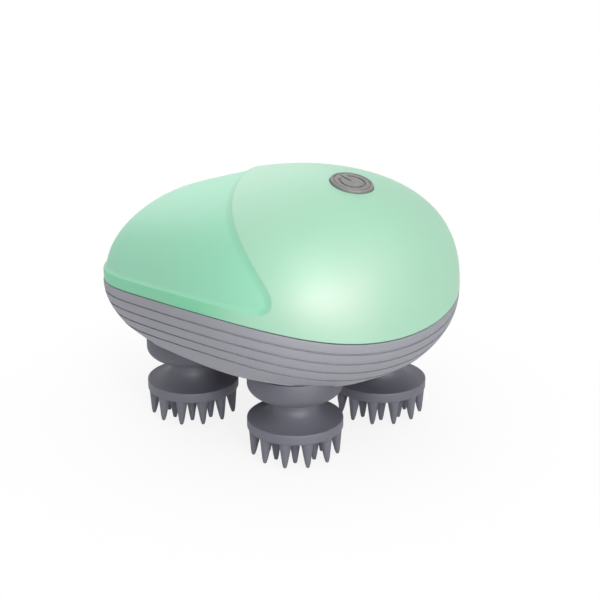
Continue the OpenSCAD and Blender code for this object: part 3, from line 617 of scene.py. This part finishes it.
def build_hull():
    rows, t = hull_rows(), np.linspace(0, math.pi, HULL_STATIONS)
    outer, inner = [hull_sheet(rows, t, is_inner) for is_inner in (False, True)]
    hull = thick_sheet("hull_skin", grid_tris(HULL_STATIONS, outer.shape[1]),
                       [outer.reshape(-1, 3), inner.reshape(-1, 3)], sharp=50)
    cutters = []
    for x, y in HEADS:
        cutters += [move(disc(BELL_R + SOCKET_GAP, 0, SOCKET_TOP), place(x, y, 0)),
                    move(disc(TUBE_R + TUBE_GAP, 0, TUBE_TOP), place(x, y, 0))]
    for dx, dy in POSTS:
        cutters.append(move(disc(SCREW_HOLE_R, 0, POST_TOP, 64), place(HEAD_X + dx, dy, 0)))
    cutters += [move(slab((-RECESS_OUT, FLAP_SINK + FLAP_T + FACE_GAP),
                          around(FLAP_W + 2 * FLAP_GAP), around(FLAP_H + 2 * FLAP_GAP)), ON_TAIL),
                move(slab((-RECESS_OUT, PORT_IN), around(PORT_HOLE_W), around(PORT_HOLE_H)),
                     ON_TAIL)]
    return combine(hull, cutters, "DIFFERENCE", sharp=50)


tail_tilt = math.degrees(math.atan(tail_x(PORT_Z - 0.5) - tail_x(PORT_Z + 0.5)))
ON_TAIL = place(tail_x(PORT_Z), 0, PORT_Z, "Y", -tail_tilt)
hull = build_hull()


# ---------------------------------------------------------------- sockets and heads
BELL_TOP = ((BELL_R, 29.3), (15.4, 29.7), (TUBE_R, 29.8))  # rounded shoulder, in the shell's hole
# Inside of the socket down to its lip, and the rounding under the lip, as steps from it
BELL_INSIDE = ((11.6, 23.9), (10.6, 23.0), (9.4, 22.5), (LIP_R + 0.3, 22.3), (LIP_R, 22.0))
LIP_ROUND = ((0, 0.3), (0.1, 0.09), (0.3, 0))
RIM_LOW_R, RIM_HIGH_R, RIM_HIGH_DROP = 0.45, 0.4, 0.36  # roundings of the disc's rim
FLARE_IN = 0.42      # start of the flare inside the rim
NECK_ROUND = ((0, 0.4), (0.12, 0.12), (0.4, 0))         # inwards and down from the neck's top
ROOT_R = 2.1         # radius of a node at the disc
ROOT_FOOT = ((0.08, 0.05), (0.12, 0.9))                 # outwards and up from there
FLANK = (0.2, 0.45, 0.7, 0.9)  # shares of a node's length
# Tips of the upright and of the leaning nodes: share of the tip's radius, and height
FLAT_TIP = ((0, 0), (0.55, 0), (0.82, 0.1), (1, 0.34))
ROUND_TIP = ((0, 0), (0.5, 0.09), (0.87, 0.33), (1.02, 0.72))


def build_socket(name):
    flat_r, tube_in = LIP_R + LIP_FLAT, TUBE_R - TUBE_WALL
    profile = [(LIP_R + out, LIP_Z + up) for out, up in LIP_ROUND]
    profile += [(flat_r + (BELL_R - flat_r) * math.sin(a),
                 BELL_SIDE_Z - (BELL_SIDE_Z - LIP_Z) * math.cos(a))
                for a in np.radians(np.arange(0, 91, 5))]
    profile += [*BELL_TOP, (TUBE_R, PLATE_Z), (BUSH_HOLE_R, PLATE_Z), (BUSH_HOLE_R, WEB_Z),
                (tube_in, WEB_Z), (tube_in, BELL_SIDE_Z), *BELL_INSIDE]
    return lathe(name, profile, 128, sharp=40)


def build_node(r, lift, lean, phase, tip):
    """Massage node at distance r from the head's axis, its tip at height lift."""
    length = DISC_Z - lift
    profile = [(TIP_R * share, z) for share, z in tip]
    profile += [(TIP_R + (ROOT_R - TIP_R) * w, length * w) for w in FLANK]
    profile += [(ROOT_R + out, length + up) for out, up in ROOT_FOOT]
    profile.append((0, profile[-1][1]))
    turn = Matrix.Rotation(math.radians(phase), 4, "Z")
    return move(lathe("cutter", profile, 28), turn @ place(r, 0, lift, "Y", -lean))


def build_head(name):
    top_r = DISC_R - FLARE_IN
    profile = [(0, DISC_Z), (DISC_R - 2 * RIM_LOW_R, DISC_Z)]
    profile += arc(DISC_R - RIM_LOW_R, DISC_Z + RIM_LOW_R, RIM_LOW_R, -90, 0, 5)
    profile += arc(DISC_R - RIM_HIGH_R, RIM_TOP_Z - RIM_HIGH_DROP, RIM_HIGH_R, 0, 84, 6)
    profile += [(top_r - (top_r - NECK_R) * math.sin(a), RIM_TOP_Z + NECK_RISE * (1 - math.cos(a)))
                for a in np.radians(np.arange(6, 91, 6))]
    profile += [(NECK_R - inwards, NECK_TOP_Z - down) for inwards, down in NECK_ROUND]
    profile.append((0, NECK_TOP_Z))
    body = lathe(name, profile, 144, sharp=40)
    lean = math.degrees(math.atan(NODE_LEAN / (DISC_Z - OUTER_LIFT)))
    nodes = [build_node(0, 0, 0, 0, FLAT_TIP)]
    nodes += [build_node(INNER_RING_R, 0, 0, INNER_PHASE + 360 / INNER_NODES * k, FLAT_TIP)
              for k in range(INNER_NODES)]
    nodes += [build_node(OUTER_RING_R, OUTER_LIFT, lean, OUTER_PHASE + 360 / OUTER_NODES * k,
                         ROUND_TIP) for k in range(OUTER_NODES)]
    return combine(body, nodes, "UNION", sharp=38)


sockets, heads = [build_socket("socket_skin_1")], [build_head("head_skin_1")]
for number in range(2, len(HEADS) + 1):
    for pieces, base in ((sockets, "socket_skin_"), (heads, "head_skin_")):
        pieces.append(add_object(base + str(number), pieces[0].data.copy()))
for pieces in (sockets, heads):
    for piece, (x, y) in zip(pieces, HEADS):
        move(piece, place(x, y, 0))


# ---------------------------------------------------------------- port flap
FLAP_ROUND = 0.35    # rounding of its edges
PAD_OVERLAP = 0.1    # of the pad with the flap
NICK_R, NICK_AT = 1.6, (0.2, 0, -4.9)  # finger nick at its lower edge


def build_flap():
    inside = FLAP_SINK + FLAP_T
    flap = slab((FLAP_SINK, inside), around(FLAP_W), around(FLAP_H))
    bevel = flap.modifiers.new("round", "BEVEL")
    bevel.width, bevel.segments, bevel.limit_method = FLAP_ROUND * MM, 4, "NONE"
    apply_modifiers(flap)
    flap.name = "flap_skin"
    pad = slab((inside - PAD_OVERLAP, WALL), around(FLAP_PAD_W), around(FLAP_PAD_H))
    nick = move(disc(NICK_R, -2, 2, 48), place(*NICK_AT, "Y", 90))
    combine(flap, [pad], "UNION")
    combine(flap, [nick], "DIFFERENCE")
    return move(flap, ON_TAIL)


flap = build_flap()


# ---------------------------------------------------------------- materials
SLOT_MATERIALS = {}
EVEN, ROUGH_SPREAD = (1, 1, 1), 0.04
# Layers of grain: noise scale, bump strength, bump distance in metres, and stretch along the axes
FINE_GRAIN = ((1500, 0.15, 0.0001, EVEN),)
MINT_GRAIN = ((2200, 0.06, 0.00005, EVEN),)
SHELL_GRAIN = ((900, 0.22, 0.0001, (0.35, 0.35, 3.0)), (2600, 0.15, 0.00006, EVEN))
SLATE_GRAIN = ((1800, 0.12, 0.00008, EVEN),)
SILICONE_GRAIN = ((1500, 0.14, 0.00008, EVEN),)
BUTTON_GRAIN = ((1400, 0.45, 0.00015, EVEN),)
STEEL_GRAIN = ((900, 0.1, 0.0001, (1, 1, 12)),)
CAN_GRAIN = ((700, 0.12, 0.0001, (1, 1, 10)),)


def new_material(name, color, rough, metallic=0.0):
    """Principled material with a plain base; returns it with its nodes, links and shader."""
    mat = bpy.data.materials.new(name)
    mat.use_nodes = True
    nodes, links = mat.node_tree.nodes, mat.node_tree.links
    shader = nodes["Principled BSDF"]
    shader.inputs["Base Color"].default_value = (*color, 1)
    shader.inputs["Roughness"].default_value = rough
    shader.inputs["Metallic"].default_value = metallic
    return mat, nodes, links, shader


def surface(name, color, rough, amount=0.04, scale=60, metallic=0.0, bumps=FINE_GRAIN,
           specular=0.5):
    """Finish of a material slot: soft variation of colour and roughness from noise, and grain."""
    mat, nodes, links, shader = new_material(name, color, rough, metallic)
    coord = nodes.new("ShaderNodeTexCoord")
    noise = nodes.new("ShaderNodeTexNoise")
    noise.inputs["Scale"].default_value = scale
    noise.inputs["Detail"].default_value = 3
    links.new(coord.outputs["Object"], noise.inputs["Vector"])
    ramp = nodes.new("ShaderNodeValToRGB")
    for stop, position, share in zip(ramp.color_ramp.elements, (0.3, 0.7), (-amount, amount)):
        stop.position = position
        stop.color = (*[c * (1 + share) for c in color], 1)
    links.new(noise.outputs["Fac"], ramp.inputs["Fac"])
    links.new(ramp.outputs["Color"], shader.inputs["Base Color"])
    spread = nodes.new("ShaderNodeMapRange")
    spread.inputs["To Min"].default_value = rough - ROUGH_SPREAD
    spread.inputs["To Max"].default_value = rough + ROUGH_SPREAD
    links.new(noise.outputs["Fac"], spread.inputs["Value"])
    links.new(spread.outputs["Result"], shader.inputs["Roughness"])
    last = None
    for grain_scale, strength, distance, stretch in bumps:
        mapping = nodes.new("ShaderNodeMapping")
        mapping.inputs["Scale"].default_value = stretch
        links.new(coord.outputs["Object"], mapping.inputs["Vector"])
        grain = nodes.new("ShaderNodeTexNoise")
        grain.inputs["Scale"].default_value = grain_scale
        grain.inputs["Detail"].default_value = 2
        links.new(mapping.outputs["Vector"], grain.inputs["Vector"])
        bump = nodes.new("ShaderNodeBump")
        bump.inputs["Strength"].default_value = strength
        bump.inputs["Distance"].default_value = distance
        links.new(grain.outputs["Fac"], bump.inputs["Height"])
        if last:
            links.new(last.outputs["Normal"], bump.inputs["Normal"])
        last = bump
    links.new(last.outputs["Normal"], shader.inputs["Normal"])
    shader.inputs["Specular IOR Level"].default_value = specular
    SLOT_MATERIALS[name] = mat
    return mat


def srgb(r, g, b):
    """Linear colour from levels of 0 to 255."""
    return tuple((v / 12.92 if v <= 0.04045 else ((v + 0.055) / 1.055) ** 2.4)
                 for v in (r / 255, g / 255, b / 255))


def satin(mat):
    """Soft pearl lacquer over the plastic, which pales it where the light grazes or mirrors."""
    shader = mat.node_tree.nodes["Principled BSDF"]
    shader.inputs["Coat Weight"].default_value = 0.4
    shader.inputs["Coat Roughness"].default_value = 0.48
    shader.inputs["Coat IOR"].default_value = 2.4


def paint_band_shade(mat, share, along_x, along_z):
    """Painted shade: multiplies the colour by share toward the tail and the parting line, where the
    band under the panel gets less light.

    Each pair is where that starts and where it is whole, in metres.
    """
    nodes, links = mat.node_tree.nodes, mat.node_tree.links
    base = nodes["Principled BSDF"].inputs["Base Color"]
    parts = nodes.new("ShaderNodeSeparateXYZ")
    links.new(nodes.new("ShaderNodeTexCoord").outputs["Object"], parts.inputs[0])
    both = nodes.new("ShaderNodeMath")
    both.operation = "MULTIPLY"
    for number, (axis, (start, whole)) in enumerate((("X", along_x), ("Z", along_z))):
        reach = nodes.new("ShaderNodeMapRange")
        reach.interpolation_type = "SMOOTHSTEP"
        reach.inputs["From Min"].default_value = start
        reach.inputs["From Max"].default_value = whole
        links.new(parts.outputs[axis], reach.inputs["Value"])
        links.new(reach.outputs["Result"], both.inputs[number])
    painted_shade = nodes.new("ShaderNodeMixRGB")
    painted_shade.blend_type = "MULTIPLY"
    painted_shade.inputs["Color2"].default_value = (*share, 1)
    links.new(both.outputs[0], painted_shade.inputs["Fac"])
    links.new(base.links[0].from_socket, painted_shade.inputs["Color1"])
    links.new(painted_shade.outputs["Color"], base)


# Painted light in the mint: the cover's nose mint is paler than the panel's as a painted glow, and
# its band mint is darker as painted shade
NOSE_PAINTED_GLOW_MINT, BAND_PAINTED_SHADE_MINT, PANEL_MINT = srgb(156, 209, 179), srgb(112, 204, 158), srgb(138, 211, 176)
mint = surface("mint_plastic", NOSE_PAINTED_GLOW_MINT, 0.5, 0.02, 25, bumps=MINT_GRAIN, specular=0.2)
satin(mint)
# Painted shade: the cover's mint darkens toward the band and the tail
paint_band_shade(mint, [low / high for low, high in zip(BAND_PAINTED_SHADE_MINT, NOSE_PAINTED_GLOW_MINT)], (0.038, 0.012),
       (0.070, 0.057))
satin(surface("mint_panel", PANEL_MINT, 0.5, 0.02, 25, bumps=MINT_GRAIN, specular=0.2))
surface("grey_plastic", srgb(151, 151, 159), 0.6, 0.03, 40, bumps=SHELL_GRAIN, specular=0.35)
surface("slate_plastic", srgb(98, 98, 109), 0.55, 0.03, 50, bumps=SLATE_GRAIN, specular=0.35)
surface("silicone", srgb(110, 110, 121), 0.55, 0.03, 50, bumps=SILICONE_GRAIN, specular=0.35)
surface("button_grey", srgb(128, 127, 125), 0.48, 0.08, 700, bumps=BUTTON_GRAIN)
surface("flap_rubber", srgb(145, 143, 152), 0.6, 0.03, 60)
surface("seal_rubber", srgb(40, 40, 44), 0.65)
surface("light_plastic", srgb(200, 203, 206), 0.5)
surface("gear_plastic", srgb(228, 224, 212), 0.42)
surface("bronze", (0.50, 0.33, 0.14), 0.42, 0.08, 300, 1.0)
surface("steel", (0.56, 0.57, 0.58), 0.32, 0.05, 200, 1.0, STEEL_GRAIN)
surface("motor_can", (0.50, 0.51, 0.53), 0.35, 0.05, 120, 1.0, CAN_GRAIN)
surface("brass", (0.62, 0.44, 0.17), 0.3, 0.05, 200, 1.0)
surface("battery_wrap", srgb(60, 100, 170), 0.35, 0.05, 40)
surface("circuit_board", srgb(24, 104, 60), 0.4, 0.12, 350)
surface("black_plastic", srgb(42, 42, 46), 0.5)


def dress(piece, body, slot, node):
    """Gives a new piece its finish and its body, and lets it stand for a CAD node."""
    piece.data.materials.clear()
    piece.data.materials.append(SLOT_MATERIALS[slot])
    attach(piece, body)
    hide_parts(node)


for entry in frame["record"]["subparts"]:
    for material_slot in NODES[entry["node"]].material_slots:
        material_slot.material = SLOT_MATERIALS[entry["material_slot"]]

dress(cover, "housing", "mint_plastic", "front_cover")
dress(panel, "housing", "mint_panel", "palm_panel")
dress(hull, "housing", "grey_plastic", "lower_shell")
dress(button, "button", "button_grey", "power_button")
dress(flap, "flap", "flap_rubber", "port_flap")
for number, (socket, head) in enumerate(zip(sockets, heads), 1):
    dress(socket, "housing", "slate_plastic", "head_socket_%d" % number)
    dress(head, "head_%d" % number, "silicone", "massage_head_%d" % number)

# ---------------------------------------------------------------- camera
camera_data = bpy.data.cameras.new("camera")
camera_data.sensor_width, camera_data.lens = 36, 81.41
camera_data.clip_start, camera_data.clip_end = 0.01, 20
camera = add_object("camera", camera_data)
CAMERA_AT = (0.3006, -0.3179, 0.2004)
CAMERA_AXES = ((0.74007769, 0.67252139, 0),                # right
               (-0.23217982, 0.25550281, 0.93851523),      # up
               (0.63117157, -0.69457419, 0.34523782))      # back
camera.matrix_world = (Matrix.Translation(CAMERA_AT)
                       @ Matrix(CAMERA_AXES).transposed().to_4x4())
bpy.context.scene.camera = camera


# ---------------------------------------------------------------- floor, world and lamps
SHADOW_NEAR, SHADOW_FAR = 0.05, 0.13   # the floor's shadow fades between them, metres
SHADOW_SHARE = 0.14                    # how much of it the camera sees
FLOOR_HALF = 4                         # half of the floor's side, metres
AMBIENT = 0.56                         # strength of the world's light on the object
LAMP_AIM, LAMP_REACH = Vector((0, 0, 0.06)), 0.9
WHITE = (1, 1, 1)
ROSE = (1, 0.4, 0.62)  # what the glow over mint plastic needs to come out near white


def seen_plain(nodes, links):
    """1 for camera, glossy and transmission rays, 0 for the rays that light the object."""
    path = nodes.new("ShaderNodeLightPath")
    total = path.outputs["Is Camera Ray"]
    for ray in ("Is Glossy Ray", "Is Transmission Ray"):
        add = nodes.new("ShaderNodeMath")
        add.operation, add.use_clamp = "ADD", True
        links.new(total, add.inputs[0])
        links.new(path.outputs[ray], add.inputs[1])
        total = add.outputs[0]
    return total


def floor_material():
    """Pale floor that is white to the camera and keeps the object's shadow close to it."""
    mat, nodes, links, shader = new_material("floor", (0.93, 0.93, 0.93), 0.9)
    glow = nodes.new("ShaderNodeEmission")
    glow.inputs["Color"].default_value = (*WHITE, 1)
    coord = nodes.new("ShaderNodeTexCoord")
    length = nodes.new("ShaderNodeVectorMath")
    length.operation = "LENGTH"
    links.new(coord.outputs["Object"], length.inputs[0])
    fade = nodes.new("ShaderNodeMapRange")
    fade.interpolation_type = "SMOOTHSTEP"
    fade.inputs["From Min"].default_value = SHADOW_NEAR
    fade.inputs["From Max"].default_value = SHADOW_FAR
    fade.inputs["To Min"].default_value = 1 - SHADOW_SHARE
    fade.inputs["To Max"].default_value = 1
    links.new(length.outputs["Value"], fade.inputs["Value"])
    share = nodes.new("ShaderNodeMath")
    share.operation = "MULTIPLY"
    links.new(fade.outputs["Result"], share.inputs[0])
    links.new(seen_plain(nodes, links), share.inputs[1])
    mix = nodes.new("ShaderNodeMixShader")
    links.new(share.outputs[0], mix.inputs[0])
    links.new(shader.outputs[0], mix.inputs[1])
    links.new(glow.outputs[0], mix.inputs[2])
    links.new(mix.outputs[0], nodes["Material Output"].inputs["Surface"])
    return mat


def pale_world():
    """World that lights the object at AMBIENT and shows as plain white."""
    world = bpy.data.worlds.new("world")
    world.use_nodes = True
    nodes, links = world.node_tree.nodes, world.node_tree.links
    ambient, white = nodes["Background"], nodes.new("ShaderNodeBackground")
    for background, strength in ((ambient, AMBIENT), (white, 1.0)):
        background.inputs["Color"].default_value = (*WHITE, 1)
        background.inputs["Strength"].default_value = strength
    mix = nodes.new("ShaderNodeMixShader")
    links.new(seen_plain(nodes, links), mix.inputs[0])
    links.new(ambient.outputs[0], mix.inputs[1])
    links.new(white.outputs[0], mix.inputs[2])
    links.new(mix.outputs[0], nodes["World Output"].inputs["Surface"])
    return world


def softbox(name, azimuth, elevation, size, power, color=WHITE, receivers=None):
    """Round soft lamp, by its direction from the object; azimuth 0 is on the -Y side.

    With receivers, a collection, it lights those pieces alone, and only their gloss.
    """
    data = bpy.data.lights.new(name, "AREA")
    data.shape, data.size, data.energy, data.color = "DISK", size, power, color
    lamp = add_object(name, data)
    az, el = math.radians(azimuth), math.radians(elevation)
    way = Vector((math.sin(az) * math.cos(el), -math.cos(az) * math.cos(el), math.sin(el)))
    lamp.location = LAMP_AIM + LAMP_REACH * way
    lamp.rotation_euler = (-way).to_track_quat("-Z", "Y").to_euler()
    lamp.visible_diffuse = receivers is None
    if receivers:
        lamp.light_linking.receiver_collection = receivers


floor_mesh = bpy.data.meshes.new("floor")
floor_mesh.from_pydata([(FLOOR_HALF * x, FLOOR_HALF * y, 0)
                        for x, y in ((-1, -1), (1, -1), (1, 1), (-1, 1))], [], [(0, 1, 2, 3)])
floor = add_object("floor", floor_mesh)
floor_mesh.materials.append(floor_material())
bpy.context.scene.world = pale_world()

LACQUERED, MATT = bpy.data.collections.new("lacquered"), bpy.data.collections.new("matt")
for piece in (cover, panel):
    LACQUERED.objects.link(piece)
for piece in [hull, button] + sockets + heads:
    MATT.objects.link(piece)
# Each lamp: name, azimuth, elevation, size in metres, power in watts
for lamp_row in (("side", 62, 20, 0.3, 2.1), ("high", 60, 50, 0.5, 1.9),
                 ("top", 0, 80, 0.8, 0.6), ("back", -120, 30, 0.8, 1.9)):
    softbox(*lamp_row)
for lamp_row in (("glow_right", 96, 9, 0.5, 1.4), ("glow_left", 72, 9, 0.5, 1.9),
                 ("glow_high", 88, 24, 0.5, 1.0), ("glow_low", 82, 7, 0.4, 1.7),
                 ("glow_front", 50, 9, 0.5, 2.2)):
    softbox(*lamp_row, ROSE, LACQUERED)
for lamp_row in (("matt_right", 80, 10, 0.4, 8.0), ("matt_front", 45, 12, 0.4, 6.0)):
    softbox(*lamp_row, WHITE, MATT)
softbox("rim", -120, 30, 0.8, 2.0, WHITE, LACQUERED)

scene = bpy.context.scene
scene.view_settings.view_transform = "Standard"
